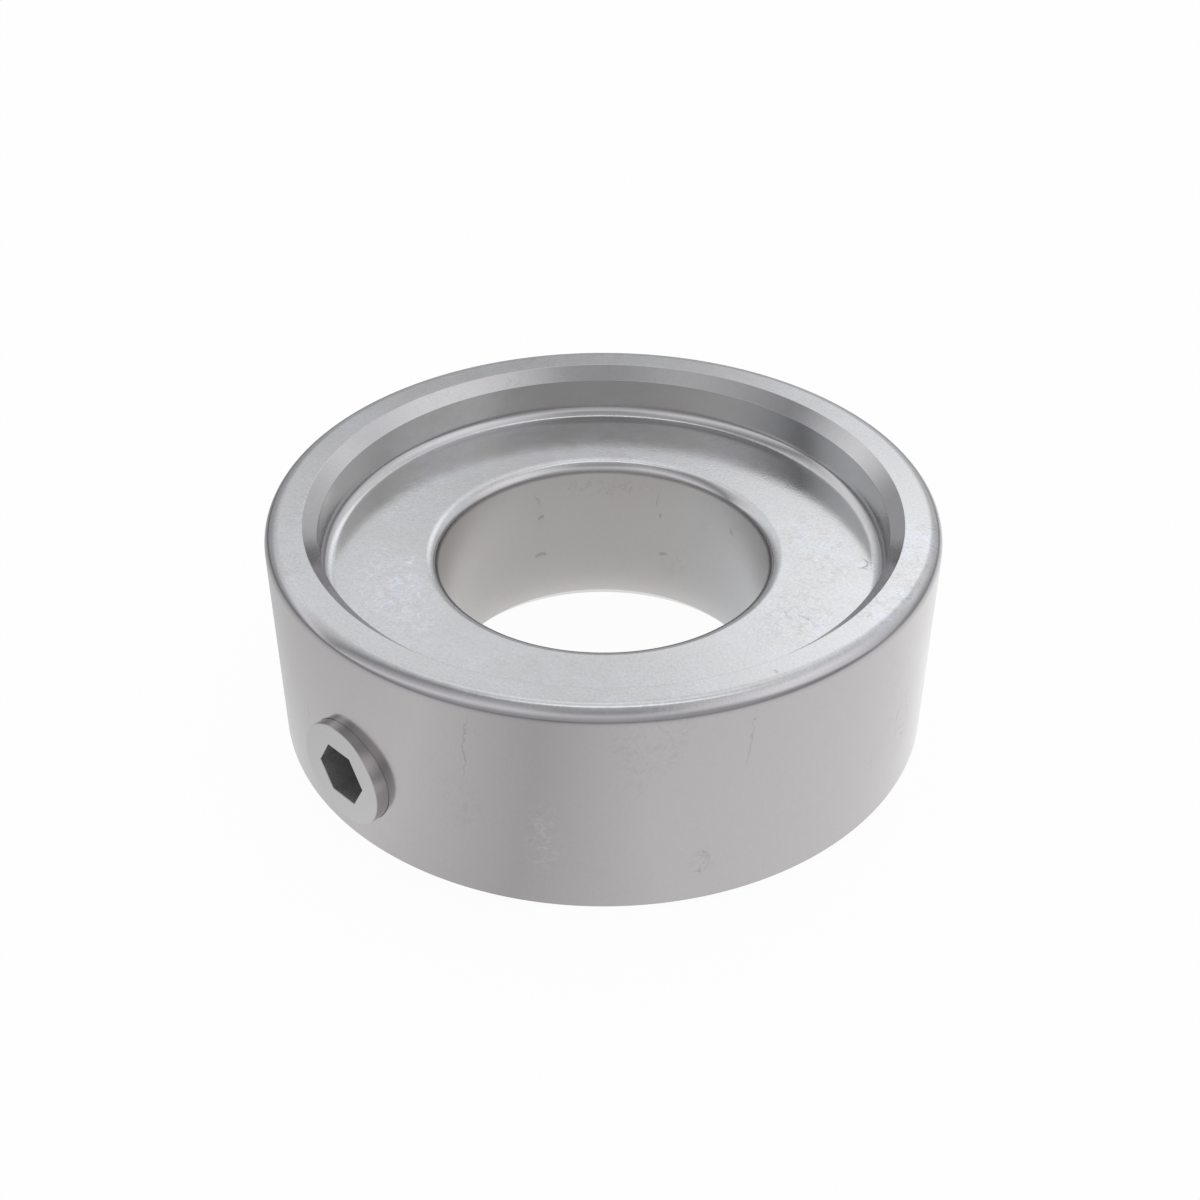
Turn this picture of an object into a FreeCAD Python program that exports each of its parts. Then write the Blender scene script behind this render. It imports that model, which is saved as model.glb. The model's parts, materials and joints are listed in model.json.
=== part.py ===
import FreeCAD, Part

import math
import os

# Eccentric locking collar: a turned steel ring with one radial set screw.
# Lengths are in millimetres and angles in degrees. The origin is on the axis of the
# shaft bore, in the plain end face. +Z points to the recessed end and -Y is the screw's side.

# Ring blank
outer_diameter = 38.1
ring_width = 13.5
outer_edge_radius = 0.9
lower_edge_chamfer = 0.65

# Shaft bore, square to both ends and centred on the ring
bore_diameter = 19.05
bore_edge_radius = 0.75
bore_lower_chamfer = 0.75

# Recess in the upper end that fits over the bearing's inner ring. It is turned off centre
# by recess_offset, so that a part turn of the collar wedges it on the inner ring's cam.
recess_diameter = 32.25
recess_depth = 3.2
recess_floor_radius = 0.5
recess_mouth_chamfer = 0.75
recess_offset = 0.2
recess_offset_angle = -45.0

# Set screw, screwed in from outside halfway up the wall under the recess
thread_diameter = 6.0
thread_clearance = 0.05
screw_angle = -90.0
screw_length = 8.0
screw_standout = 0.55
key_across_flats = 3.0
key_clearance = 0.08
socket_depth = 3.5
socket_end_angle = 120.0
cup_diameter = 3.0
cup_angle = 120.0
tip_angle = 90.0

outer_radius = outer_diameter / 2
bore_radius = bore_diameter / 2
floor_height = ring_width - recess_depth
screw_height = floor_height / 2
axis_z = FreeCAD.Vector(0, 0, 1)


def towards(angle, distance, height=0.0):
    """Point at a distance from the bore axis, in the direction of an angle from +X."""
    turn = math.radians(angle)
    return FreeCAD.Vector(distance * math.cos(turn), distance * math.sin(turn), height)


def section(corners):
    """Closed face in the XZ plane from corners (radius, height, rounding), rounded by arcs."""
    points = [FreeCAD.Vector(radius, 0, height) for radius, height, rounding in corners]
    bends = []
    for index, point in enumerate(points):
        rounding = corners[index][2]
        back = (points[index - 1] - point).normalize()
        ahead = (points[(index + 1) % len(points)] - point).normalize()
        half_corner = back.getAngle(ahead) / 2
        tangent = rounding / math.tan(half_corner)
        inward = (back + ahead).normalize()
        middle = point + inward * (rounding / math.sin(half_corner) - rounding)
        bends.append((point + back * tangent, middle, point + ahead * tangent))
    edges = []
    for index, (start, middle, end) in enumerate(bends):
        edges.append(Part.makeLine(bends[index - 1][2], start))
        if corners[index][2] > 0:
            edges.append(Part.Arc(start, middle, end).toShape())
    return Part.Face(Part.Wire(edges))


def turned(corners):
    """Solid of revolution about the Z axis of a rounded section."""
    return section(corners).revolve(FreeCAD.Vector(), axis_z, 360)


def ring_blank():
    """Plain ring, chamfered at its lower edges and rounded at the upper outer one."""
    return turned([
        (bore_radius, bore_lower_chamfer, 0),
        (bore_radius + bore_lower_chamfer, 0, 0),
        (outer_radius - lower_edge_chamfer, 0, 0),
        (outer_radius, lower_edge_chamfer, 0),
        (outer_radius, ring_width, outer_edge_radius),
        (bore_radius, ring_width, 0),
    ])


def recess_tool():
    """Turned space of the recess, with its floor fillet and the chamfer at its mouth."""
    recess_radius = recess_diameter / 2
    mouth_radius = recess_radius + recess_mouth_chamfer
    headroom = ring_width + recess_depth
    tool = turned([
        (0, floor_height, 0),
        (recess_radius, floor_height, recess_floor_radius),
        (recess_radius, ring_width - recess_mouth_chamfer, 0),
        (mouth_radius, ring_width, 0),
        (mouth_radius, headroom, 0),
        (0, headroom, 0),
    ])
    tool.translate(towards(recess_offset_angle, recess_offset))
    return tool


def bore_floor_edge(ring):
    """Edge where the bore meets the floor of the recess."""
    for edge in ring.Edges:
        if not isinstance(edge.Curve, Part.Circle):
            continue
        same_radius = abs(edge.Curve.Radius - bore_radius) < 1e-6
        same_height = abs(edge.Curve.Center.z - floor_height) < 1e-6
        if same_radius and same_height:
            return edge


def collar_ring():
    """Ring with its recess, rounded bore and the radial hole for the screw."""
    ring = ring_blank().cut(recess_tool())
    ring = ring.makeFillet(bore_edge_radius, [bore_floor_edge(ring)])
    hole_radius = thread_diameter / 2 + thread_clearance
    centre = towards(screw_angle, 0, screw_height)
    hole = Part.makeCylinder(hole_radius, outer_diameter, centre, towards(screw_angle, 1))
    return ring.cut(hole)


def socket_tool():
    """Hexagonal key socket with two level flats and the cone its drill left."""
    across_flats = key_across_flats + key_clearance
    corner_radius = across_flats / 2 / math.cos(math.radians(30))
    floor = screw_length - socket_depth
    corners = [towards(60 * step, corner_radius, floor) for step in range(6)]
    hexagon = Part.Face(Part.makePolygon(corners + corners[:1]))
    prism = hexagon.extrude(axis_z * screw_length)
    cone_height = across_flats / 2 / math.tan(math.radians(socket_end_angle / 2))
    cone = Part.makeCone(0, across_flats / 2, cone_height, FreeCAD.Vector(0, 0, floor - cone_height))
    return prism.fuse(cone)


def set_screw():
    """Socket set screw with a cup point, lying in its hole with the socket outwards."""
    shank_radius = thread_diameter / 2
    cup_radius = cup_diameter / 2
    cup_depth = cup_radius / math.tan(math.radians(cup_angle / 2))
    tip_height = (shank_radius - cup_radius) / math.tan(math.radians(tip_angle / 2))
    screw = turned([
        (0, cup_depth, 0),
        (cup_radius, 0, 0),
        (shank_radius, tip_height, 0),
        (shank_radius, screw_length, 0),
        (0, screw_length, 0),
    ])
    screw = screw.cut(socket_tool())
    tip_distance = outer_radius + screw_standout - screw_length
    outwards = FreeCAD.Rotation(towards(screw_angle + 90, 1), axis_z, towards(screw_angle, 1), "ZXY")
    screw.Placement = FreeCAD.Placement(towards(screw_angle, tip_distance, screw_height), outwards)
    return screw


os.makedirs("parts", exist_ok=True)
for node, shape in {"collar_ring": collar_ring(), "set_screw": set_screw()}.items():
    shape.exportStep("parts/" + node + ".step")
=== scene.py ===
"""Eccentric locking collar: the turned ring, its set screw, their steel and a plain studio."""

import json
import logging
import math
from dataclasses import dataclass, field
from enum import Enum
from typing import Any, Mapping, Sequence, Union

import bpy
import numpy as np
from mathutils import Matrix, Vector


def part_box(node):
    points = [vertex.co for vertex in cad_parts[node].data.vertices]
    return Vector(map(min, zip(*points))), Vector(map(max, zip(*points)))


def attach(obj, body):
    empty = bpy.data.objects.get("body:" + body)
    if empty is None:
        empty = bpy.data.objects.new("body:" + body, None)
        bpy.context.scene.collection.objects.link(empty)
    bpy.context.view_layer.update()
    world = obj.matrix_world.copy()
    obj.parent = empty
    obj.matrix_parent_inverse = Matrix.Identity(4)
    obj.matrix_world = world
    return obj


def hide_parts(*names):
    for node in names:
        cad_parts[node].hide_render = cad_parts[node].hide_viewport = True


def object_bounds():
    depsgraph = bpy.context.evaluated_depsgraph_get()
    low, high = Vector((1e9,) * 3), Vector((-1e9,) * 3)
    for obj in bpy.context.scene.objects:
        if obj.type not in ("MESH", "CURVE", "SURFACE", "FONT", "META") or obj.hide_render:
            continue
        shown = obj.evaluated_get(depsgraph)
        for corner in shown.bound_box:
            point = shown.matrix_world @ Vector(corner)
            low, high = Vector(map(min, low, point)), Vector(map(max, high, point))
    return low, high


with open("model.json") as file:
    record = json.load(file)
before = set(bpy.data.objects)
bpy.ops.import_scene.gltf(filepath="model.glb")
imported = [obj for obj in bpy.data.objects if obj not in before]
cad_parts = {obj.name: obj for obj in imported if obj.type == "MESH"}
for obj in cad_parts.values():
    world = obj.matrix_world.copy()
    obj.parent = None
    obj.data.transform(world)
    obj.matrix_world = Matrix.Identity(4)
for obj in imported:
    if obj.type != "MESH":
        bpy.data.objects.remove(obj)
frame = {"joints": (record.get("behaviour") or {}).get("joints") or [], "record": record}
cad_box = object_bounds()

log = logging.getLogger("locking_collar")

Number = Union[int, float]
Colour = tuple[float, float, float]
Step = tuple[float, float]
Stops = tuple[tuple[float, float], ...]

MM = 0.001
FULL_TURN = 2 * math.pi

# Shares of a straight run at which a section has more points.
HALF = (0.5,)
THIRDS = (0.33, 0.67)
QUARTERS = (0.25, 0.5, 0.75)
FIFTHS = (0.2, 0.4, 0.6, 0.8)


class Slot(Enum):
    """Material slots named in the record, which the pieces here don't use for their finish."""

    RING = "ring_steel"
    SCREW = "screw_steel"


class Body(Enum):
    """Bodies of the frame that the pieces ride on."""

    COLLAR = "collar"
    SCREW = "screw"


class Side(Enum):
    """Side of a thread that the metal is on."""

    MALE = "male"
    FEMALE = "female"


class Face(Enum):
    """Face of the ring that a mark lies on."""

    OUTSIDE = "outside"
    BORE = "bore"
    RIM = "rim"
    FLOOR = "floor"

    @property
    def upright(self) -> bool:
        """Whether the face is a wall."""
        return self in (Face.OUTSIDE, Face.BORE)


def named(entries: Sequence[Mapping[str, Any]], name: str) -> Mapping[str, Any]:
    """Finds an entry of a list in the frame.

    Args:
        entries: The list, such as the joints or the record's mounts.
        name: The entry's name.

    Returns:
        The entry.
    """
    for entry in entries:
        if entry["name"] == name:
            return entry
    raise KeyError(name)


def direction(azimuth: float, elevation: float) -> Vector:
    """Unit vector of a direction.

    Args:
        azimuth: Angle from +X towards +Y, in degrees.
        elevation: Angle above the floor, in degrees.

    Returns:
        The vector.
    """
    turn, rise = math.radians(azimuth), math.radians(elevation)
    return Vector((math.cos(turn) * math.cos(rise), math.sin(turn) * math.cos(rise), math.sin(rise)))


def even_angles(count: int) -> list[float]:
    """Angles in radians that share a full turn evenly."""
    return [FULL_TURN * index / count for index in range(count)]


class Value:
    """A shader socket whose arithmetic adds Math nodes to its own tree."""

    def __init__(self, shader: "Shader", socket: bpy.types.NodeSocket) -> None:
        """Wraps a socket.

        Args:
            shader: The tree that new nodes go into.
            socket: The output that carries the value.
        """
        self.shader = shader
        self.socket = socket

    def _math(self, operation: str, first: "Operand", second: "Operand" = 0.0) -> "Value":
        """Adds one Math node.

        Args:
            operation: The node's operation.
            first: Its first value.
            second: Its second value.

        Returns:
            The node's result.
        """
        return self.shader.value("ShaderNodeMath", {"operation": operation}, {0: first, 1: second})

    def __add__(self, other: "Operand") -> "Value":
        """Sum of two values."""
        return self._math("ADD", self, other)

    def __radd__(self, other: "Operand") -> "Value":
        """Sum with a number on the left."""
        return self._math("ADD", other, self)

    def __sub__(self, other: "Operand") -> "Value":
        """Difference of two values."""
        return self._math("SUBTRACT", self, other)

    def __rsub__(self, other: "Operand") -> "Value":
        """Difference with a number on the left."""
        return self._math("SUBTRACT", other, self)

    def __mul__(self, other: "Operand") -> "Value":
        """Product of two values."""
        return self._math("MULTIPLY", self, other)

    def __rmul__(self, other: "Operand") -> "Value":
        """Product with a number on the left."""
        return self._math("MULTIPLY", other, self)

    def __truediv__(self, other: "Operand") -> "Value":
        """Quotient of two values."""
        return self._math("DIVIDE", self, other)

    def __rtruediv__(self, other: "Operand") -> "Value":
        """Quotient with a number on the left."""
        return self._math("DIVIDE", other, self)

    def __abs__(self) -> "Value":
        """Size of the value without its sign."""
        return self._math("ABSOLUTE", self)

    def clamped(self) -> "Value":
        """The value held between 0 and 1."""
        return self.shader.value("ShaderNodeClamp", {}, {"Value": self})

    def angle_from(self, other: "Operand") -> "Value":
        """Angle whose tangent is this value over the other."""
        return self._math("ARCTAN2", self, other)

    def above(self, low: Number, high: Number, top: Number = 1.0) -> "Value":
        """Smooth step from 0 at one value to its top at another.

        Args:
            low: The value that gives 0.
            high: The value that gives the top, which may be the smaller one.
            top: Height of the step.

        Returns:
            The step.
        """
        inputs = {"Value": self, "From Min": low, "From Max": high, "To Max": top}
        return self.shader.value("ShaderNodeMapRange", {"interpolation_type": "SMOOTHSTEP"}, inputs)


Operand = Union[Value, Number]


class Shader:
    """Node tree of a material or the world, written as Python expressions.

    The Mix node has its sockets once for each kind of data, so those for colours go by number:
    the factor, the two colours and the result.
    """

    MIX_SOCKETS = (0, 6, 7)
    MIX_RESULT = 2

    def __init__(self, owner: Union[bpy.types.Material, bpy.types.World]) -> None:
        """Empties the owner's node tree.

        Args:
            owner: The material or world that the tree belongs to.
        """
        owner.use_nodes = True
        self.tree = owner.node_tree
        self.tree.nodes.clear()

    def node(self, kind: str, settings: Mapping[str, Any], inputs: Mapping[Any, Any]) -> bpy.types.Node:
        """Adds one node.

        Args:
            kind: The node's type.
            settings: Its properties, and under "stops" the (place, level) pairs of a ramp.
            inputs: A value, colour or link for each socket that is named or numbered.

        Returns:
            The node.
        """
        made = self.tree.nodes.new(kind)
        for name, setting in settings.items():
            if name == "stops":
                self._set_stops(made.color_ramp, setting)
            else:
                setattr(made, name, setting)
        for name, given in inputs.items():
            if isinstance(given, Value):
                self.tree.links.new(given.socket, made.inputs[name])
            elif isinstance(given, bpy.types.NodeSocket):
                self.tree.links.new(given, made.inputs[name])
            else:
                made.inputs[name].default_value = given
        return made

    @staticmethod
    def _set_stops(ramp: bpy.types.ColorRamp, stops: Sequence[tuple[float, float]]) -> None:
        """Gives a ramp its stops.

        Args:
            ramp: The ramp, which has two stops when it is new.
            stops: Place and level of each stop, in rising order.
        """
        while len(ramp.elements) < len(stops):
            ramp.elements.new(1.0)
        for element, (place, level) in zip(ramp.elements, stops):
            element.position = place
            element.color = (level, level, level, 1.0)

    def value(self, kind: str, settings: Mapping[str, Any], inputs: Mapping[Any, Any],
              output: Union[int, str] = 0) -> Value:
        """Adds one node and takes one of its outputs.

        Args:
            kind: The node's type.
            settings: Its properties.
            inputs: What its sockets get.
            output: The output to take.

        Returns:
            That output.
        """
        return Value(self, self.node(kind, settings, inputs).outputs[output])

    def place(self) -> Value:
        """Point on the surface in the object's own frame, in metres."""
        return self.value("ShaderNodeTexCoord", {}, {}, "Object")

    def parts(self, vector: Value) -> tuple[Value, Value, Value]:
        """The three parts of a vector."""
        split = self.node("ShaderNodeSeparateXYZ", {}, {0: vector})
        return tuple(Value(self, split.outputs[index]) for index in range(3))

    def vector(self, operation: str, first: Any, second: Any = (0.0, 0.0, 0.0),
               output: Union[int, str] = 0) -> Value:
        """Adds one Vector Math node.

        Args:
            operation: The node's operation.
            first: Its first vector.
            second: Its second vector.
            output: The output to take, which is "Value" where the result is a number.

        Returns:
            The node's result.
        """
        inputs = {0: first, 1: second}
        return self.value("ShaderNodeVectorMath", {"operation": operation}, inputs, output)

    def length(self, vector: Value) -> Value:
        """Length of a vector."""
        return self.vector("LENGTH", vector, output="Value")

    def across(self, vector: Value, axis: Sequence[float]) -> Value:
        """Part of a vector along an axis."""
        return self.vector("DOT_PRODUCT", vector, tuple(axis), "Value")

    def scaled(self, vector: Any, share: Operand) -> Value:
        """Vector or colour with each of its parts multiplied.

        Args:
            vector: The vector or colour.
            share: What its parts are multiplied by.

        Returns:
            The vector or colour.
        """
        inputs = {0: vector, "Scale": share}
        return self.value("ShaderNodeVectorMath", {"operation": "SCALE"}, inputs)

    def noise(self, place: Value, size: float, detail: float = 2.0, harshness: float = 0.5) -> Value:
        """Cloudy noise from about 0 to 1.

        Args:
            place: The point it is read at.
            size: Size of its largest clouds, in metres.
            detail: Number of finer layers.
            harshness: Strength of the finer layers.

        Returns:
            The noise.
        """
        inputs = {"Vector": place, "Scale": 1 / size, "Detail": detail, "Roughness": harshness}
        return self.value("ShaderNodeTexNoise", {}, inputs)

    def nudged(self, place: Value, share: Operand, reach: float) -> Value:
        """Point moved about a little along a slant, so that straight lines waver.

        Args:
            place: The point.
            share: How far it moves, from about -1 to 1.
            reach: What a share of 1 measures, in metres.

        Returns:
            The moved point.
        """
        slant = (reach, 0.6 * reach, 0.8 * reach)
        return self.vector("ADD", place, self.scaled(slant, share))

    def ramp(self, place: Value, stops: Sequence[tuple[float, float]]) -> Value:
        """Level read off a ramp of (place, level) stops."""
        return self.value("ShaderNodeValToRGB", {"stops": stops}, {0: place})

    def mixed(self, mask: Operand, first: Any, second: Any) -> Value:
        """Colour between two colours.

        Args:
            mask: 0 for the first colour and 1 for the second.
            first: The first colour, or a link.
            second: The second colour, or a link.

        Returns:
            The colour.
        """
        ends = [given if isinstance(given, Value) else (*given, 1.0) for given in (first, second)]
        inputs = dict(zip(self.MIX_SOCKETS, (mask, *ends)))
        return self.value("ShaderNodeMix", {"data_type": "RGBA"}, inputs, self.MIX_RESULT)

    def bumped(self, height: Value, depth: float) -> Value:
        """Normal of a surface with small relief.

        Args:
            height: The relief, from about 0 to 1.
            depth: What a height of 1 measures, in metres.

        Returns:
            The normal.
        """
        inputs = {"Height": height, "Distance": depth, "Strength": 1.0}
        return self.value("ShaderNodeBump", {}, inputs)

    def output(self, surface: bpy.types.NodeSocket, kind: str = "ShaderNodeOutputMaterial") -> None:
        """Ends the tree.

        Args:
            surface: The shader that the surface has.
            kind: Type of the output node.
        """
        self.node(kind, {}, {"Surface": surface})


@dataclass(frozen=True)
class Mark:
    """Scratch, speck or patch of fine lines on the steel, with its lengths in millimetres.

    angle is its middle's angle from +X in degrees, and reach its height on a wall or its distance
    from the axis on an end face. lean turns it, in degrees, from upright on a wall or from the radius
    on an end face. shade is the share of light that a scratch takes, or how worn a patch is.
    thickness is its size square to the face, which is more where the face curves away under it.
    """

    face: Face
    angle: float
    reach: float
    length: float
    width: float
    lean: float
    shade: float
    thickness: float = 0.8

    def strength(self, shader: Shader, place: Value, levels: Mapping[Face, float],
                 edge: float) -> Value:
        """Strength of the mark at a point.

        Args:
            shader: The material's tree.
            place: The point.
            levels: Radius of each wall and height of each end face, in metres.
            edge: Share of its size at which it starts to fade.

        Returns:
            shade in its middle and 0 outside.
        """
        turn, lean = math.radians(self.angle), math.radians(self.lean)
        half = (self.thickness / 2 * MM, self.width / 2 * MM, self.length / 2 * MM)
        radius, height = levels[self.face], self.reach * MM
        rotation = (lean, 0, turn)
        if not self.face.upright:
            radius, height = height, radius
            rotation, half = (0, 0, turn + lean), half[::-1]
        middle = (radius * math.cos(turn), radius * math.sin(turn), height)
        inputs = {"Vector": place, "Location": middle, "Rotation": rotation, "Scale": half}
        inside = shader.value("ShaderNodeMapping", {"vector_type": "TEXTURE"}, inputs)
        return shader.length(inside).above(1.0, edge, self.shade)


# Scratches and specks: face, angle, reach, length, width, lean and shade.
SCRATCHES = (
    Mark(Face.OUTSIDE, -65.9, 10.4, 5.4, 0.12, -6, 0.13),
    Mark(Face.OUTSIDE, -22.9, 10.5, 4.2, 0.11, -4, 0.12),
    Mark(Face.OUTSIDE, -22.2, 12.0, 0.3, 0.18, 0, 0.16),
    Mark(Face.OUTSIDE, -29.4, 3.7, 0.8, 0.20, 28, 0.11),
    Mark(Face.OUTSIDE, -30.1, 2.6, 0.9, 0.20, -8, 0.13),
    Mark(Face.OUTSIDE, 11.0, 6.5, 0.7, 0.16, -18, 0.16),
    Mark(Face.OUTSIDE, -101.7, 6.7, 1.0, 0.12, 12, 0.14),
    Mark(Face.BORE, 160.1, 8.2, 1.8, 0.10, -24, 0.16),
    Mark(Face.BORE, 158.9, 6.9, 0.36, 0.45, 0, 0.22),
    Mark(Face.BORE, 160.1, 4.0, 0.36, 1.1, 16, 0.20),
    Mark(Face.BORE, 113.6, 8.0, 1.8, 0.10, 24, 0.16),
    Mark(Face.BORE, 112.8, 6.9, 0.36, 0.45, 0, 0.22),
    Mark(Face.BORE, 112.0, 4.0, 0.36, 1.1, -16, 0.20),
    Mark(Face.BORE, 79.7, 7.9, 0.7, 0.36, 0, 0.16),
    Mark(Face.FLOOR, 11.4, 12.1, 1.6, 0.12, -20, 0.16),
    Mark(Face.FLOOR, 12.7, 13.1, 1.8, 0.12, -16, 0.16),
    Mark(Face.FLOOR, 26.4, 12.6, 1.4, 0.10, 22, 0.13),
    Mark(Face.FLOOR, 38.0, 15.0, 1.3, 0.13, 40, 0.28),
    Mark(Face.FLOOR, 39.6, 15.1, 1.0, 0.13, -50, 0.26),
    Mark(Face.FLOOR, 36.8, 14.9, 0.8, 0.13, -10, 0.24),
    Mark(Face.RIM, -16.9, 17.9, 0.4, 0.34, 0, 0.16),
)

# Worn patches with fine lines in them, dark where shade is above 0 and light under 0. The last
# number, where there is an eighth, is the thickness.
WORN = (
    Mark(Face.FLOOR, 38.3, 15.1, 1.5, 0.9, 0, 1.2),
    Mark(Face.RIM, 14.5, 18.1, 1.5, 1.1, 0, 1.8),
    Mark(Face.RIM, 20.0, 17.5, 6.0, 16.0, 0, 0.8),
    Mark(Face.FLOOR, 14.0, 12.4, 6.4, 10.0, 0, 0.9),
    Mark(Face.FLOOR, 46.0, 12.4, 6.0, 12.0, 0, 0.8),
    Mark(Face.FLOOR, -115.0, 12.4, 7.0, 14.0, 0, -0.9),
    Mark(Face.FLOOR, -160.0, 12.6, 6.0, 10.0, 0, -0.6),
    Mark(Face.FLOOR, -129.0, 11.1, 0.8, 1.4, 0, -1.1),
    Mark(Face.BORE, 135.0, 8.6, 1.8, 10.0, 0, 0.9, 4.0),
    Mark(Face.OUTSIDE, -54.4, 5.2, 7.0, 2.6, 0, -0.8, 1.2),
    Mark(Face.OUTSIDE, -29.6, 3.2, 2.4, 2.0, 0, 0.9),
    Mark(Face.OUTSIDE, 14.0, 5.5, 7.0, 3.4, 0, 0.8, 1.2),
)


@dataclass(frozen=True)
class SatinSteel:
    """Bare turned steel with the faintly cloudy, finely scratched skin of a tumbled part.

    A share says how much of the light a pattern takes or gives, and a step is the pair of values
    between which a mask goes from 0 to its top. Each skin is how strongly the mottle and the grain
    show: on a wall, and what an end face and a worn patch on it add. The colours carry painted light:
    the slight tints of the wall and end colours, the lighter and warmer inner walls, the lighter bore,
    the cooler tint on inner walls that face one way and the tint on slanted faces stand in for the
    light that each face mirrors.
    """

    name: str = "satin_steel"
    # Painted light: the slight tints of these colours and the lighter inner colour stand in for the
    # light each face mirrors.
    wall_colour: Colour = (0.503, 0.486, 0.494)
    inner_colour_with_painted_light: Colour = (0.540, 0.525, 0.516)
    painted_cool_tint_colour: Colour = (0.522, 0.526, 0.536)
    end_colour: Colour = (0.494, 0.496, 0.507)
    painted_sheen_colour: Colour = (0.500, 0.492, 0.524)
    cloud_colour: Colour = (0.520, 0.540, 0.584)
    end_step: Step = (0.55, 0.98)
    # How strongly slanted faces take the painted sheen tint.
    painted_sheen_share: float = 2.4
    # Inner walls that face this way take a painted reflection tint, cooler in colour.
    painted_tint_azimuth: float = -135.0
    painted_tint_step: Step = (0.3, 0.9)
    outside_depths: Step = (1.5 * MM, 1.0 * MM)
    bore_fade: float = 0.1 * MM
    # How much lighter the bore's colour is painted, standing in for light.
    bore_painted_light: float = 0.13
    roughness: float = 0.18
    bore_roughness: float = 0.2
    mark_roughness: float = 0.3
    cloud_size: float = 4.0 * MM
    cloud_step: Step = (0.48, 0.60)
    cloud_share: float = 0.42
    cloud_worn_share: float = 0.5
    cloud_light_share: float = 0.3
    cloud_roughness: float = 0.10
    mottle_size: float = 0.9 * MM
    mottle_share: float = 0.14
    mottle_roughness: float = 0.06
    waver: float = 0.9 * MM
    grain_size: float = 0.15 * MM
    grain_share: float = 0.32
    grain_depth: float = 0.003 * MM
    wall_skin: float = 0.2
    end_skin: float = 0.5
    worn_skin: float = 0.4
    line_size: float = 1.1 * MM
    line_step: Step = (0.035, 0.008)
    line_share: float = 0.10
    speck_size: float = 0.4 * MM
    speck_step: Step = (0.50, 0.62)
    speck_top: float = 0.6
    worn_size: float = 4.4 * MM
    worn_step: Step = (0.60, 0.75)
    worn_top: float = 0.4
    worn_fade: float = 0.3
    scratch_fade: float = 0.4
    scratches: tuple[Mark, ...] = SCRATCHES
    worn: tuple[Mark, ...] = WORN

    def material(self, levels: Mapping[Face, float]) -> bpy.types.Material:
        """Builds the material.

        Args:
            levels: Radius of each wall and height of each end face, in metres.

        Returns:
            The material.
        """
        made = bpy.data.materials.new(self.name)
        shader = Shader(made)
        place = shader.place()
        normal = shader.value("ShaderNodeTexCoord", {}, {}, "Normal")
        upward = abs(shader.parts(normal)[2])
        on_end = upward.above(*self.end_step)
        in_bore = self._beyond(shader, place, levels[Face.BORE] + self.bore_fade, levels[Face.BORE])
        # Wall colours carry painted light: tints and a lighter bore standing in for mirrored light.
        walls = self._walls_with_painted_light(shader, place, normal, in_bore, levels[Face.OUTSIDE])
        plain = shader.mixed(on_end, walls, self.end_colour)
        # Painted sheen: fillets and chamfers take a lilac tint standing in for mirrored light.
        with_painted_sheen = shader.mixed(upward * (1 - upward) * self.painted_sheen_share, plain, self.painted_sheen_colour)
        mottle = shader.noise(place, self.mottle_size, 2, 0.6) - 0.5
        grain = shader.noise(place, self.grain_size, 1, 0.7)
        moved = shader.nudged(place, mottle, self.waver)
        cloud = shader.noise(moved, self.cloud_size, 5, 0.68)
        worn = self._worn_patches(shader, place, levels)
        lines = self._fine_lines(shader, moved) * worn
        marks = self._marks(shader, moved, levels)
        lightened = (worn * -self.cloud_light_share).clamped()
        cloudy = cloud.above(*self.cloud_step) * (self.cloud_share + abs(worn) * self.cloud_worn_share)
        clouded = shader.mixed(((cloudy + lightened) * on_end).clamped(), with_painted_sheen, self.cloud_colour)
        skin = self.wall_skin + (self.end_skin + abs(worn) * self.worn_skin) * on_end
        pattern = mottle * self.mottle_share + (grain - 0.5) * self.grain_share
        light = 1 + pattern * skin - lines * self.line_share - marks
        rough = self.roughness + (cloud - 0.5) * self.cloud_roughness + mottle * self.mottle_roughness
        rougher = rough + abs(marks) * self.mark_roughness + in_bore * self.bore_roughness
        inputs = {
            "Base Color": shader.scaled(clouded, light),
            "Metallic": 1.0,
            "Roughness": rougher.clamped(),
            "Normal": shader.bumped(grain * on_end, self.grain_depth),
        }
        steel = shader.node("ShaderNodeBsdfPrincipled", {}, inputs)
        shader.output(steel.outputs["BSDF"])
        return made

    def _walls_with_painted_light(self, shader: Shader, place: Value, normal: Value, in_bore: Value,
               outside_radius: float) -> Value:
        """Colour of the walls, with painted light: lighter, warmer inner walls, a cooler tint on the
        inner walls that face one way and a lighter bore, which stand in for the light they mirror.

        Args:
            shader: The material's tree.
            place: The point on the surface.
            normal: The surface's normal.
            in_bore: 1 in the bore and 0 elsewhere.
            outside_radius: Radius of the outside.

        Returns:
            The colour.
        """
        # Painted reflection tint: inner walls that face one way are made cooler in colour.
        cool = shader.across(normal, direction(self.painted_tint_azimuth, 0)).above(*self.painted_tint_step)
        inner_with_painted_tint = shader.mixed(cool, self.inner_colour_with_painted_light, self.painted_cool_tint_colour)
        # Painted light: the bore's colour is made lighter.
        inner = shader.scaled(inner_with_painted_tint, 1 + self.bore_painted_light * in_bore)
        low, high = (outside_radius - depth for depth in self.outside_depths)
        return shader.mixed(self._beyond(shader, place, low, high), inner, self.wall_colour)

    @staticmethod
    def _beyond(shader: Shader, place: Value, low: float, high: float) -> Value:
        """Smooth step of the distance from the ring's axis.

        Args:
            shader: The material's tree.
            place: The point on the surface.
            low: Radius at which it is 0.
            high: Radius at which it is 1, which may be the smaller one.

        Returns:
            The step.
        """
        return shader.length(shader.vector("MULTIPLY", place, (1, 1, 0))).above(low, high)

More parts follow.
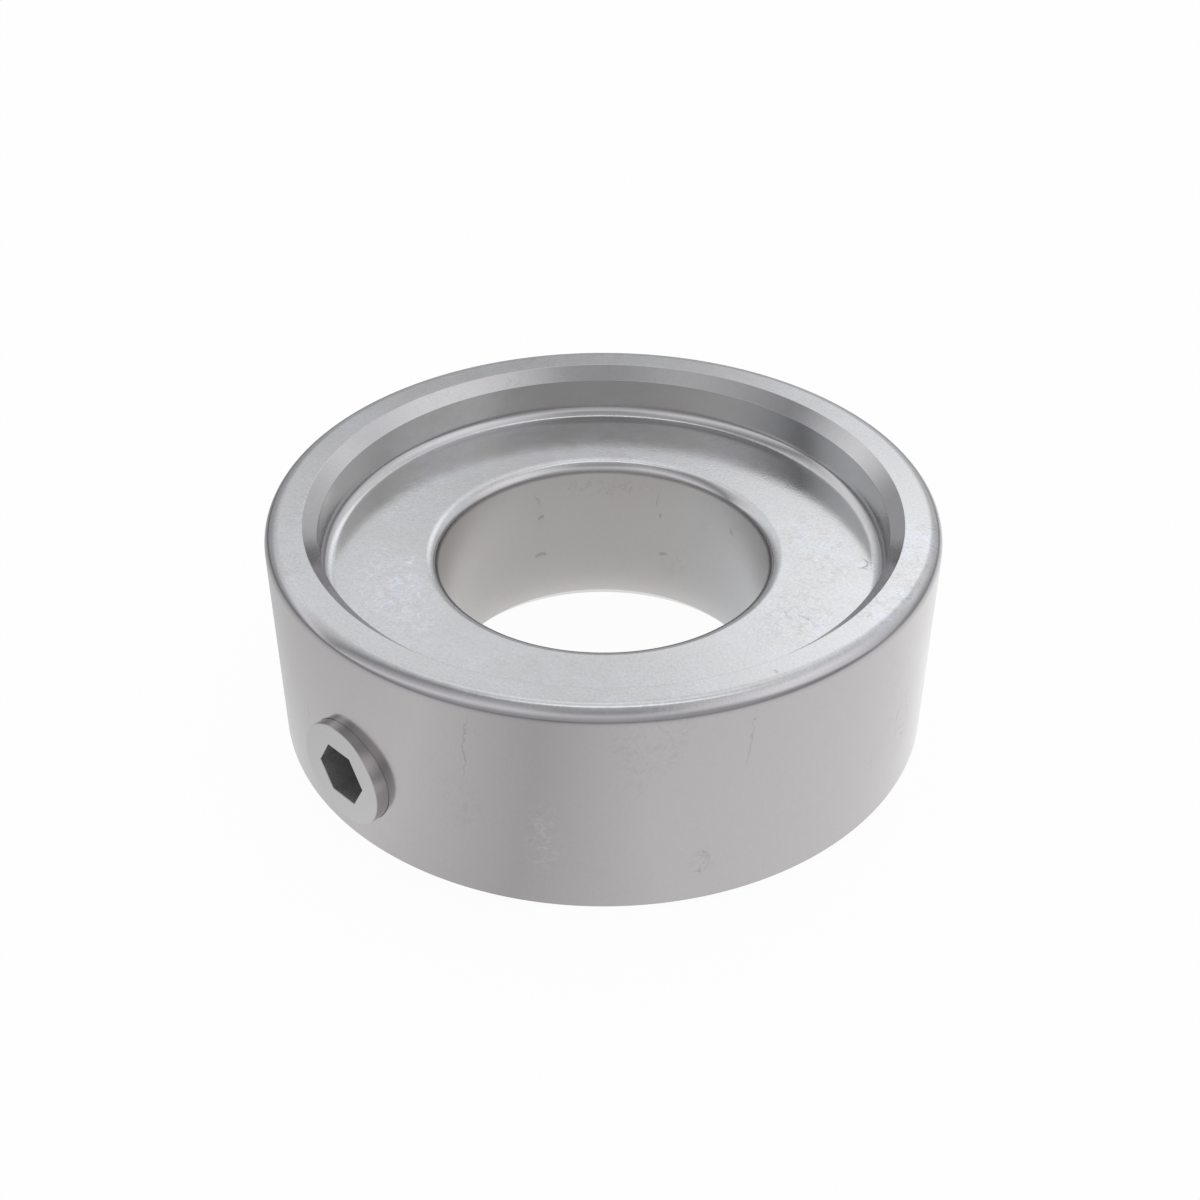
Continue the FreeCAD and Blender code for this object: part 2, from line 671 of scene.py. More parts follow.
    def _worn_patches(self, shader: Shader, place: Value, levels: Mapping[Face, float]) -> Value:
        """Patches where the skin is worn.

        Args:
            shader: The material's tree.
            place: The point on the surface.
            levels: Radius of each wall and height of each end face.

        Returns:
            Above 0 where it has turned dark, under 0 where it has turned light and 0 elsewhere.
        """
        worn = shader.noise(place, self.worn_size, 0).above(*self.worn_step, self.worn_top)
        for mark in self.worn:
            worn = worn + mark.strength(shader, place, levels, self.worn_fade)
        return worn

    def _fine_lines(self, shader: Shader, moved: Value) -> Value:
        """Fine curved lines with specks between them, as a tumbled part has.

        Args:
            shader: The material's tree.
            moved: The point moved about, which makes the lines curl.

        Returns:
            About 1 in a line and 0 elsewhere.
        """
        contours = abs(shader.noise(moved, self.line_size, 2, 0.65) - 0.5)
        specks = shader.noise(moved, self.speck_size, 2, 0.7)
        return contours.above(*self.line_step) + specks.above(*self.speck_step, self.speck_top)

    def _marks(self, shader: Shader, moved: Value, levels: Mapping[Face, float]) -> Value:
        """Scratches and specks that have places of their own.

        Args:
            shader: The material's tree.
            moved: The point moved about, which makes the scratches waver.
            levels: Radius of each wall and height of each end face.

        Returns:
            Share of the light that is taken.
        """
        strengths = [mark.strength(shader, moved, levels, self.scratch_fade) for mark in self.scratches]
        return sum(strengths[1:], strengths[0])


@dataclass(frozen=True)
class MatteSteel:
    """Plain fine matte steel of a small turned fastener."""

    name: str
    colour: Colour
    roughness: float
    grain_size: float = 0.09 * MM
    grain_depth: float = 0.003 * MM
    cloud_size: float = 1.08 * MM
    cloud_roughness: float = 0.1
    speckle: float = 0.06

    def material(self) -> bpy.types.Material:
        """Builds the material.

        Returns:
            The material.
        """
        made = bpy.data.materials.new(self.name)
        shader = Shader(made)
        place = shader.place()
        grain = shader.noise(place, self.grain_size, 1, 0.6)
        cloud = shader.noise(place, self.cloud_size, 2, 0.6) - 0.5
        light = 1 + (grain - 0.5) * self.speckle * 2 + cloud * self.speckle
        inputs = {
            "Base Color": shader.scaled(self.colour, light),
            "Metallic": 1.0,
            "Roughness": (self.roughness + cloud * self.cloud_roughness).clamped(),
            "Normal": shader.bumped(grain, self.grain_depth),
        }
        steel = shader.node("ShaderNodeBsdfPrincipled", {}, inputs)
        shader.output(steel.outputs["BSDF"])
        return made


class Surface:
    """Points and faces of one piece, gathered ring by ring.

    An edge stays sharp from SHARP_ANGLE upwards, in degrees.
    """

    SHARP_ANGLE = 32

    def __init__(self) -> None:
        """Starts with nothing."""
        self.points: list[tuple[float, float, float]] = []
        self.faces: list[tuple[int, ...]] = []
        self.finishes: list[int] = []

    def ring(self, points: Sequence[Sequence[float]]) -> list[int]:
        """Adds points.

        Args:
            points: The points, in metres.

        Returns:
            Their numbers.
        """
        first = len(self.points)
        self.points.extend((float(x), float(y), float(z)) for x, y, z in points)
        return list(range(first, len(self.points)))

    def face(self, corners: Sequence[int], finish: int = 0) -> None:
        """Adds a face, unless its corners fall together on a line or a point.

        Args:
            corners: Numbers of its points, where a point may stand twice.
            finish: Number of its material.
        """
        kept = tuple(dict.fromkeys(corners))
        if len(kept) > 2:
            self.faces.append(kept)
            self.finishes.append(finish)

    def span(self, first: Sequence[int], second: Sequence[int], finish: int = 0) -> None:
        """Joins two closed rings of equally many points.

        Args:
            first: The ring that the surface comes from.
            second: The ring that it goes to.
            finish: Number of the material.
        """
        for index in range(len(first)):
            after = (index + 1) % len(first)
            self.face((first[index], first[after], second[after], second[index]), finish)

    def spans(self, rings: Sequence[Sequence[int]], finish: int = 0) -> None:
        """Joins each of some closed rings to the next.

        Args:
            rings: The rings, in order.
            finish: Number of the material.
        """
        for first, second in zip(rings, rings[1:]):
            self.span(first, second, finish)

    def piece(self, name: str, materials: Sequence[bpy.types.Material]) -> bpy.types.Object:
        """Makes the object.

        Args:
            name: Its name.
            materials: Its materials, in the order of the faces' finishes.

        Returns:
            The object, in the scene.
        """
        mesh = bpy.data.meshes.new(name)
        mesh.from_pydata(self.points, [], self.faces)
        mesh.validate()
        for material in materials:
            mesh.materials.append(material)
        mesh.polygons.foreach_set("material_index", self.finishes)
        mesh.shade_smooth()
        mesh.set_sharp_from_angle(angle=math.radians(self.SHARP_ANGLE))
        mesh.update()
        made = bpy.data.objects.new(name, mesh)
        bpy.context.scene.collection.objects.link(made)
        return made


@dataclass(frozen=True)
class Thread:
    """Right-hand metric thread about a line along Y, with the basic profile.

    A place along it is its distance from the ring's axis towards -Y, so the screw's thread and the
    hole's keep the same phase.
    """

    major_radius: float = 3.0 * MM
    pitch: float = 1.0 * MM
    clearance: float = 0.05 * MM
    foot_gap: float = 0.06 * MM
    rows_a_pitch: int = 16
    crest_half: float = 1 / 16
    flank: float = 5 / 16
    flank_angle: float = 30.0

    @property
    def depth(self) -> float:
        """Depth of the thread, which its flanks' angle off square gives."""
        return self.flank * self.pitch / math.tan(math.radians(self.flank_angle))

    @property
    def core_radius(self) -> float:
        """Radius just inside the foot of the thread, where a pointed end meets it."""
        return self.major_radius - self.depth - self.foot_gap

    def radius(self, distance: float, angle: float) -> float:
        """Radius of the screw's thread.

        Args:
            distance: Place along the thread's line, in metres.
            angle: Angle about it from +X towards +Z, in radians.

        Returns:
            The radius, in metres.
        """
        turns = distance / self.pitch - angle / FULL_TURN
        from_crest = abs(turns - round(turns))
        fall = min(max((from_crest - self.crest_half) / self.flank, 0.0), 1.0)
        return self.major_radius - self.depth * fall

    def wind(self, surface: Surface, low: Sequence[int], high: Sequence[int], start: float,
             end: float, height: float, side: Side) -> None:
        """Adds the threaded stretch between two rings.

        Args:
            surface: The piece's surface.
            low: The ring at the start, one point a column.
            high: The ring at the end.
            start: The start's distance from the ring's axis.
            end: The end's distance.
            height: Height of the thread's line.
            side: Whether the thread is the screw's or the hole's.
        """
        columns = len(low)
        step = self.pitch / self.rows_a_pitch
        near = 0.1 * step
        made: dict[tuple[int, int], int] = {}

        def corner(column: int, row: int) -> int:
            """Point of the helical grid, which past an end is the point on that end's ring.

            Args:
                column: Its column, where the last one is the first one a turn further on.
                row: Its row.

            Returns:
                Number of the point.
            """
            if column == columns:
                column, row = 0, row + self.rows_a_pitch
            distance = row * step + self.pitch * column / columns
            if distance <= start + near:
                return low[column]
            if distance >= end - near:
                return high[column]
            if (column, row) not in made:
                angle = FULL_TURN * column / columns
                radius = self._limited(distance, angle, start, end, side)
                point = around_screw(radius, angle, distance, height)
                made[column, row] = surface.ring([point])[0]
            return made[column, row]

        for column in range(columns):
            for row in range(math.floor((start - self.pitch) / step) - 1, math.ceil(end / step) + 1):
                near_side = [corner(column, row), corner(column + 1, row)]
                far_side = [corner(column + 1, row + 1), corner(column, row + 1)]
                quad = near_side + far_side
                surface.face(quad if side is Side.MALE else quad[::-1])

    def _limited(self, distance: float, angle: float, start: float, end: float, side: Side) -> float:
        """Radius where the thread begins and runs out.

        Args:
            distance: Place along the thread's line.
            angle: Angle about it.
            start: Where the threaded stretch starts.
            end: Where it ends.
            side: Whether the thread is the screw's or the hole's.

        Returns:
            The radius: a screw's point is a cone and its last groove runs out, and a hole is
            countersunk at both ends.
        """
        thread = self.radius(distance, angle)
        if side is Side.MALE:
            runs_out = self.major_radius - max(end - distance, 0.0)
            return min(max(thread, runs_out), self.core_radius + (distance - start))
        nearest = min(distance - start, end - distance)
        return self.clearance + max(thread, self.major_radius - nearest)


def around_screw(radius: float, angle: float, distance: float,
                 height: float) -> tuple[float, float, float]:
    """Point about the screw's line.

    Args:
        radius: Distance from the line.
        angle: Angle from +X towards +Z, in radians.
        distance: Distance from the ring's axis towards -Y.
        height: Height of the line.

    Returns:
        The point, in metres.
    """
    return radius * math.cos(angle), -distance, height + radius * math.sin(angle)


@dataclass(frozen=True)
class Corner:
    """Corner of the ring's section.

    shift is 1 on the recess, which is turned off centre, and 0 elsewhere. rows are the shares of the
    straight run after the corner at which it has more points.
    """

    radius: float
    height: float
    rounding: float
    steps: int
    shift: float = 0.0
    rows: tuple[float, ...] = ()


@dataclass(frozen=True)
class Window:
    """Block of cells of a wall that the screw hole takes the place of."""

    wall_radius: float
    half_height: float
    half_columns: int
    rows: int

    def heights(self, middle: float) -> list[float]:
        """Heights of its rows.

        Args:
            middle: Height of the hole.

        Returns:
            The heights, from the lowest.
        """
        return [middle + self.half_height * (2 * row / self.rows - 1) for row in range(self.rows + 1)]


@dataclass
class CollarRing:
    """The turned ring, with its off-centre recess and the tapped hole for the screw."""

    screw: "SetScrew"
    outer_edge: float = 0.9 * MM
    lower_chamfer: float = 0.65 * MM
    bore_edge: float = 0.75 * MM
    bore_chamfer: float = 0.75 * MM
    recess_edge: float = 0.75 * MM
    mouth_chamfer: float = 0.75 * MM
    crisp_edge: float = 0.03 * MM
    crisp_steps: int = 3
    round_steps: int = 12
    foot_steps: int = 14
    support: float = 0.04 * MM
    columns: int = 240
    patch_shares: tuple[float, ...] = (0.3, 0.55, 0.75, 0.9)
    mouth_clearance: float = 0.02 * MM
    inner_relief: float = 0.35 * MM
    finish: SatinSteel = field(default_factory=SatinSteel)

    def __post_init__(self) -> None:
        """Reads the ring's sizes from the frame."""
        low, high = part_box("collar_ring")
        mounts = frame["record"]["mounts"]
        recess = named(mounts, "inner_ring_recess")
        self.outer_radius = (high.x - low.x) / 2
        self.width = high.z - low.z
        self.bore_radius = named(mounts, "shaft_bore")["dims"]["r_mm"] * MM
        self.recess_radius = recess["dims"]["r_mm"] * MM
        self.floor_height = named(mounts, "recess_floor")["pos_m"][2]
        self.recess_shift = (recess["pos_m"][0], recess["pos_m"][1])
        self.thread = self.screw.thread
        self.screw_height = self.screw.height
        self.outer_window = Window(self.outer_radius, half_height=3.96 * MM, half_columns=8, rows=32)
        self.bore_window = Window(self.bore_radius, half_height=3.6 * MM, half_columns=14, rows=20)

    def section(self) -> list[Corner]:
        """Section of the ring, from the lower end of the bore and round by the outside.

        Returns:
            Its corners.
        """
        mouth_radius = self.recess_radius + self.mouth_chamfer
        outside_top = self.width - self.outer_edge
        bore_top = self.floor_height - self.bore_edge
        outside = self._shares(self.outer_window, self.lower_chamfer, outside_top)
        inside = self._shares(self.bore_window, bore_top, self.bore_chamfer)
        crisp = (self.crisp_edge, self.crisp_steps)
        return [
            Corner(self.bore_radius, self.bore_chamfer, *crisp),
            Corner(self.bore_radius + self.bore_chamfer, 0, *crisp, 0, QUARTERS),
            Corner(self.outer_radius - self.lower_chamfer, 0, *crisp),
            Corner(self.outer_radius, self.lower_chamfer, *crisp, 0, outside),
            Corner(self.outer_radius, self.width, self.outer_edge, self.round_steps, 0, HALF),
            Corner(mouth_radius, self.width, *crisp, 1, HALF),
            Corner(self.recess_radius, self.width - self.mouth_chamfer, *crisp, 1, HALF),
            Corner(self.recess_radius, self.floor_height, self.recess_edge, self.foot_steps, 1, FIFTHS),
            Corner(self.bore_radius, self.floor_height, self.bore_edge, self.round_steps, 0, inside),
        ]

    def _shares(self, window: Window, start: float, end: float) -> tuple[float, ...]:
        """Rows of a wall that has a window.

        Args:
            window: The window.
            start: Height at which the wall's straight run starts.
            end: Height at which it ends.

        Returns:
            Shares of the run, in rising order.
        """
        rows = window.heights(self.screw_height)
        above = [rows[-1] + (max(start, end) - rows[-1]) * share for share in THIRDS]
        return tuple(sorted((height - start) / (end - start) for height in rows + above))

    def stations(self) -> list[tuple[float, float, float]]:
        """Points of the section, with its corners rounded.

        Returns:
            Radius, height and shift of each point.
        """
        corners = self.section()
        made = []
        for index, corner in enumerate(corners):
            here = Vector((corner.radius, corner.height))
            before, after = corners[index - 1], corners[(index + 1) % len(corners)]
            back = (Vector((before.radius, before.height)) - here).normalized()
            ahead = (Vector((after.radius, after.height)) - here).normalized()
            half = back.angle(ahead) / 2
            tangent = corner.rounding / math.tan(half)
            centre = here + (back + ahead).normalized() * corner.rounding / math.sin(half)
            turn = math.copysign(math.pi - 2 * half, ahead.x * back.y - ahead.y * back.x)
            arm = here + back * tangent - centre
            support = min(self.support, 0.5 * corner.rounding)
            turns = [turn * step / corner.steps for step in range(corner.steps + 1)]
            arc = [centre + Matrix.Rotation(part, 2) @ arm for part in turns]
            for point in [arc[0] + back * support, *arc, arc[-1] + ahead * support]:
                made.append((point.x, point.y, corner.shift))
            run_end = Vector((after.radius, after.height)) - ahead * self._setback(corners, index + 1)
            for share in corner.rows:
                point = arc[-1].lerp(run_end, share)
                made.append((point.x, point.y, corner.shift + (after.shift - corner.shift) * share))
        return made

    @staticmethod
    def _setback(corners: Sequence[Corner], index: int) -> float:
        """How far before a corner its rounding starts.

        Args:
            corners: The section's corners.
            index: The corner's number, which may be past the last.

        Returns:
            The distance, in metres.
        """
        count = len(corners)
        before, corner, after = (corners[(index + step) % count] for step in (-1, 0, 1))
        here = Vector((corner.radius, corner.height))
        back = Vector((before.radius, before.height)) - here
        ahead = Vector((after.radius, after.height)) - here
        return corner.rounding / math.tan(back.angle(ahead) / 2)

    def build(self) -> bpy.types.Object:
        """Makes the ring and puts it in the place of its CAD node.

        Returns:
            The piece.
        """
        surface = Surface()
        stations = self.stations()
        rings = [surface.ring(self._circle(*station)) for station in stations]
        outer_rows = self._window_rows(stations, self.outer_window)
        bore_rows = self._window_rows(stations, self.bore_window)
        blocked = self._blocked(outer_rows, self.outer_window)
        blocked |= self._blocked(bore_rows, self.bore_window)
        for row, ring in enumerate(rings):
            above = rings[(row + 1) % len(rings)]
            for column in range(self.columns):
                if (row, column) not in blocked:
                    after = (column + 1) % self.columns
                    surface.face((ring[column], ring[after], above[after], above[column]))
        self._hole(surface, rings, outer_rows, bore_rows)
        levels = {
            Face.OUTSIDE: self.outer_radius,
            Face.BORE: self.bore_radius,
            Face.RIM: self.width,
            Face.FLOOR: self.floor_height,
        }
        made = surface.piece("ring", [self.finish.material(levels)])
        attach(made, Body.COLLAR.value)
        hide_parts("collar_ring")
        return made

    def _circle(self, radius: float, height: float, shift: float) -> list[tuple[float, float, float]]:
        """Circle of one station.

        Args:
            radius: Its radius.
            height: Its height.
            shift: Share of the recess's offset that it has.

        Returns:
            Its points.
        """
        x, y = (shift * part for part in self.recess_shift)
        return [
            (x + radius * math.cos(angle), y + radius * math.sin(angle), height)
            for angle in even_angles(self.columns)
        ]

    def _plain_depth(self) -> float:
        """Depth of the hole's plain mouth, which the screw's plain end never passes."""
        standout = self.screw.face - self.outer_radius
        inwards = -named(frame["joints"], "screw_travel")["range_m"][0]
        return self.screw.plain_end - standout + inwards + self.thread.clearance

    def _window_rows(self, stations: Sequence[tuple[float, float, float]], window: Window) -> list[int]:
        """Stations that a window's rows lie on.

        Args:
            stations: The section's points.
            window: The window.

        Returns:
            Their numbers, from the lowest row.
        """
        found = []
        for height in window.heights(self.screw_height):
            off = [abs(radius - window.wall_radius) + abs(z - height) for radius, z, shift in stations]
            found.append(int(np.argmin(off)))
        return found

    def _columns_of(self, window: Window) -> range:
        """Columns that a window spans, from -X to +X."""
        middle = 3 * self.columns // 4
        return range(middle - window.half_columns, middle + window.half_columns + 1)

    def _blocked(self, rows: Sequence[int], window: Window) -> set[tuple[int, int]]:
        """Cells of the grid that a window takes away.

        Args:
            rows: The window's stations.
            window: The window.

        Returns:
            Row and column of each cell.
        """
        return {(row, column) for row in sorted(rows)[:-1] for column in self._columns_of(window)[:-1]}

    def _outline(self, rings: Sequence[Sequence[int]], rows: Sequence[int],
                 window: Window) -> list[int]:
        """Points round a window, from the middle of its +X side and up.

        Args:
            rings: The grid's points.
            rows: The window's stations, from the lowest.
            window: The window.

        Returns:
            Numbers of the points.
        """
        columns = self._columns_of(window)
        left, right = columns[0], columns[-1]
        middle = len(rows) // 2
        path = [(row, right) for row in rows[middle:-1]]
        path += [(rows[-1], column) for column in reversed(columns[1:])]
        path += [(row, left) for row in rows[:0:-1]]
        path += [(rows[0], column) for column in columns[:-1]]
        path += [(row, right) for row in rows[:middle]]
        return [rings[row][column] for row, column in path]

    def _patch(self, surface: Surface, outline: Sequence[int], window: Window,
               radius: float) -> list[list[int]]:
        """Rings on a wall between a window's outline and the hole.

        Args:
            surface: The ring's surface.
            outline: The window's outline.
            window: The window.
            radius: The hole's radius.

        Returns:
            The rings, from the outline inwards, the last one being the hole's edge.
        """
        rings = [list(outline)]
        edge = 1 - self.crisp_edge / (window.half_height - radius)
        for share in (*self.patch_shares, edge, 1.0):
            points = []
            for number in outline:
                x, _, z = surface.points[number]
                rise = z - self.screw_height
                shrink = radius / math.hypot(x, rise)
                nearer = 1 + (shrink - 1) * share
                across = x * nearer
                on_wall = -math.sqrt(window.wall_radius ** 2 - across ** 2)
                points.append((across, on_wall, self.screw_height + rise * nearer))
            rings.append(surface.ring(points))
        return rings

    def _hole(self, surface: Surface, rings: Sequence[Sequence[int]],
              outer_rows: Sequence[int], bore_rows: Sequence[int]) -> None:
        """Adds the tapped hole, plain at its mouth, where the screw's plain end slides.

        Args:
            surface: The ring's surface.
            rings: The grid's points.
            outer_rows: Stations of the outer window.
            bore_rows: Stations of the window in the bore.
        """
        radius = self.thread.major_radius + self.thread.clearance
        mouth_radius = self.thread.major_radius + self.mouth_clearance
        start = self.bore_radius + self.inner_relief
        end = self.outer_radius - self._plain_depth()
        outer_outline = self._outline(rings, outer_rows, self.outer_window)
        bore_outline = self._outline(rings, bore_rows, self.bore_window)
        outside = self._patch(surface, outer_outline, self.outer_window, mouth_radius)
        inside = self._patch(surface, bore_outline, self.bore_window, radius)
        angles = even_angles(len(outer_outline))
        inner, outer = (
            surface.ring([around_screw(radius, angle, distance, self.screw_height) for angle in angles])
            for distance in (start, end)
        )
        surface.spans([*outside, outer])
        self.thread.wind(surface, inner, outer, start, end, self.screw_height, Side.FEMALE)
        surface.spans([inner, *inside[::-1]])


@dataclass
class SetScrew:
    """The socket set screw: cup point, thread, a plain end as in the photograph and a key socket."""

    thread: Thread
    cup_radius: float = 1.5 * MM
    cup_angle: float = 120.0
    cup_rim: float = 0.06 * MM
    plain_end: float = 0.85 * MM
    crisp_edge: float = 0.03 * MM
    across_flats: float = 3.08 * MM
    socket_depth: float = 3.5 * MM
    drill_share: float = 0.485
    drill_angle: float = 120.0
    columns: int = 96
    steel: MatteSteel = MatteSteel("matte_steel", (0.510, 0.494, 0.500), 0.30)
    face_steel: MatteSteel = MatteSteel("bright_face_steel", (0.570, 0.568, 0.568), 0.36)
    socket_steel: MatteSteel = MatteSteel(
        "dark_socket_steel", (0.49, 0.485, 0.495), 0.55, speckle=0.3
    )

    def __post_init__(self) -> None:
        """Reads the screw's place and length from the frame."""
        low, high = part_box("set_screw")
        self.tip = -high.y
        self.face = -low.y
        self.height = (low.z + high.z) / 2

    def build(self) -> bpy.types.Object:
        """Makes the screw and puts it in the place of its CAD node.

        Returns:
            The piece.
        """
        surface = Surface()
        body = self._point(surface)
        shoulder = self.face - self.plain_end
        land = self._circle(surface, self.thread.major_radius, shoulder)
        start = self._thread_start()
        self.thread.wind(surface, body, land, start, shoulder, self.height, Side.MALE)
        self._end(surface, land)
        finishes = [steel.material() for steel in (self.steel, self.socket_steel, self.face_steel)]
        made = surface.piece("set_screw_dressed", finishes)
        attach(made, Body.SCREW.value)
        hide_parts("set_screw")
        return made

    def _thread_start(self) -> float:
        """Distance at which the pointed end reaches the foot of the thread."""
        return self.tip + self.thread.core_radius - self.cup_radius

    def _circle(self, surface: Surface, radius: float, distance: float) -> list[int]:
        """Adds a circle about the screw's line.

        Args:
            surface: The screw's surface.
            radius: Its radius.
            distance: Its distance from the ring's axis.

        Returns:
            Numbers of its points.
        """
        angles = even_angles(self.columns)
        return surface.ring([around_screw(radius, angle, distance, self.height) for angle in angles])

    def _hexagon(self, surface: Surface, grow: float, distance: float) -> list[int]:
        """Adds the socket's outline, with two level flats.

        Args:
            surface: The screw's surface.
            grow: How far outside the socket's flats it lies.
            distance: Its distance from the ring's axis.

        Returns:
            Numbers of its points.
        """
        apothem = self.across_flats / 2 + grow
        sixth = FULL_TURN / 6
        points = []
        for angle in even_angles(self.columns):
            radius = apothem / math.cos(angle % sixth - sixth / 2)
            points.append(around_screw(radius, angle, distance, self.height))
        return surface.ring(points)

    def _point(self, surface: Surface) -> list[int]:
        """Adds the cup and the cone of the pointed end.

        Args:
            surface: The screw's surface.

        Returns:
            The ring at the start of the thread.
        """
        inner = self.cup_radius - self.cup_rim
        depth = inner / math.tan(math.radians(self.cup_angle / 2))
        apex = surface.ring([around_screw(0, 0, self.tip + depth, self.height)]) * self.columns
        rings = [
            apex,
            self._circle(surface, 0.5 * inner, self.tip + 0.5 * depth),
            self._circle(surface, inner, self.tip),
            self._circle(surface, self.cup_radius, self.tip),
            self._circle(surface, self.thread.core_radius, self._thread_start()),
        ]
        surface.spans(rings)
        return rings[-1]

    def _end(self, surface: Surface, land: Sequence[int]) -> None:
        """Adds the plain end, its face and the key socket.

        Args:
            surface: The screw's surface.
            land: The ring where the plain end starts.
        """
        radius = self.thread.major_radius
        crisp = self.crisp_edge
        floor = self.face - self.socket_depth
        drilled = self.drill_share * self.across_flats
        cone = drilled / math.tan(math.radians(self.drill_angle / 2))
        outside = [
            list(land),
            self._circle(surface, radius, self.face - 2 * crisp),
            self._circle(surface, radius, self.face - crisp),
            self._circle(surface, radius - crisp, self.face),
        ]
        face = [
            outside[-1],
            self._circle(surface, radius - 2 * crisp, self.face),
            self._hexagon(surface, 2 * crisp, self.face),
            self._hexagon(surface, crisp, self.face),
            self._hexagon(surface, 0, self.face - crisp),
        ]
        socket = [
            face[-1],
            self._hexagon(surface, 0, self.face - 2 * crisp),
            self._hexagon(surface, 0, floor),
            self._circle(surface, drilled, floor),
            surface.ring([around_screw(0, 0, floor - cone, self.height)]) * self.columns,
        ]
        # In the order of the materials that build gives the piece.
        for finish, rings in enumerate((outside, socket, face)):
            surface.spans(rings, finish)


@dataclass(frozen=True)
class Panel:
    """Soft round light in the sky, or a dark flag where its level is under 0.

    arch is its angle along the sky's arch, side its angle off it to the camera's right and size its
    radius, all in degrees.
    """

    arch: float
    side: float
    size: float
    level: float


@dataclass(frozen=True)
class Studio:
    """Plain pale floor under a soft sky that arches from behind the ring over it to the camera.

    A sky's stops are angles along the arch in degrees, from 0 at the horizon behind the ring over 90
    overhead to 180 at the horizon behind the camera, with their levels, where 1 is white. Its left
    and right are the camera's. floor_glow is what the steel mirrors of the floor close by, with
    angles from +X, and hole_glow what it mirrors under the bore, in the middle and further out.
    Distances on the floor are measured from the ring's axis.
    """

    back: float = 135.0
    floor_radius: float = 6.0
    floor_corners: int = 64
    floor_drop: float = 0.01 * MM
    floor_colour: Colour = (0.9, 0.9, 0.9)
    seen_white: float = 0.96
    left_sky: Stops = (
        (0, 0.5), (20, 0.5), (30, 0.9), (45, 1.2), (65, 0.85),
        (85, 0.35), (110, 0.65), (140, 1.05), (165, 0.5),
    )
    middle_sky: Stops = (
        (0, 0.65), (15, 0.65), (25, 0.45), (35, 1.2), (45, 0.9), (55, 1.4), (75, 0.9),
        (82, 2.4), (88, 0.65), (125, 0.45), (145, 0.85), (165, 0.6), (180, 0.5),
    )
    right_sky: Stops = (
        (0, 0.7), (20, 0.8), (40, 1.1), (65, 0.95), (100, 1.05), (140, 1.0), (160, 0.5),
    )
    left_step: Step = (-0.05, -0.45)
    right_step: Step = (0.1, 0.5)
    panels: tuple[Panel, ...] = (
        Panel(34, 15, 16, 0.6),
        Panel(38, -12, 12, 0.1),
        Panel(115, 60, 35, 0.25),
        Panel(0, 90, 45, -0.3),
    )
    floor_glow: Stops = (
        (-180, 0.5), (-150, 0.7), (-90, 0.9), (-60, 0.65), (-35, 0.9),
        (5, 1.0), (50, 1.1), (120, 0.85), (180, 0.5),
    )
    far_distances: Step = (160 * MM, 15 * MM)
    far_glow: float = 0.35
    hole_distances: Step = (6 * MM, 9.6 * MM)
    hole_glow: tuple[float, float] = (0.66, 1.0)
    ring_distances: Step = (10.8 * MM, 13.2 * MM)

    def build(self) -> None:
        """Makes the studio."""
        self._floor()
        self._sky()

    def _floor(self) -> None:
        """Makes the floor, which shows white with the object's faint shadow."""
        surface = Surface()
        rim = [
            (self.floor_radius * math.cos(angle), self.floor_radius * math.sin(angle), -self.floor_drop)
            for angle in even_angles(self.floor_corners)
        ]
        centre = surface.ring([(0, 0, -self.floor_drop)]) * self.floor_corners
        surface.span(surface.ring(rim), centre)
        surface.piece("floor", [self._floor_material()])

    def _floor_material(self) -> bpy.types.Material:
        """Builds the floor's paint.

        Returns:
            The material: near white for the eye, soft and pale for the steel that mirrors it, and not
            there at all from below.
        """
        made = bpy.data.materials.new("floor_paint")
        shader = Shader(made)
        path = shader.node("ShaderNodeLightPath", {}, {})
        camera, glossy, clear = (
            Value(shader, path.outputs[name])
            for name in ("Is Camera Ray", "Is Glossy Ray", "Is Transmission Ray")
        )
        level = 1 + glossy * (self._mirrored(shader) - 1)
        glow = shader.node("ShaderNodeEmission", {}, {"Strength": level}).outputs[0]
        colour = {"Color": (*self.floor_colour, 1.0)}
        paint = shader.node("ShaderNodeBsdfDiffuse", {}, colour).outputs[0]
        gone = shader.node("ShaderNodeBsdfTransparent", {}, {}).outputs[0]
        white = (camera * self.seen_white + glossy + clear).clamped()
        behind = shader.value("ShaderNodeNewGeometry", {}, {}, "Backfacing")
        seen = shader.node("ShaderNodeMixShader", {}, {0: white, 1: paint, 2: glow}).outputs[0]
        both = shader.node("ShaderNodeMixShader", {}, {0: behind, 1: seen, 2: gone}).outputs[0]
        shader.output(both)
        return made

    def _mirrored(self, shader: Shader) -> Value:
        """What the steel mirrors of the floor.

        Args:
            shader: The floor's tree.

        Returns:
            The level, which depends on the place round the ring and falls off further out.
        """
        place = shader.place()
        x, y, _ = shader.parts(place)
        turn = y.angle_from(x) / FULL_TURN + 0.5
        near = shader.ramp(turn, [(angle / 360 + 0.5, level) for angle, level in self.floor_glow])
        distance = shader.length(place)
        fallen = near * (self.far_glow + distance.above(*self.far_distances, 1 - self.far_glow))
        middle, rim = self.hole_glow
        under_hole = middle + distance.above(*self.hole_distances, rim - middle)
        outside = distance.above(*self.ring_distances)
        return under_hole + outside * (fallen - under_hole)

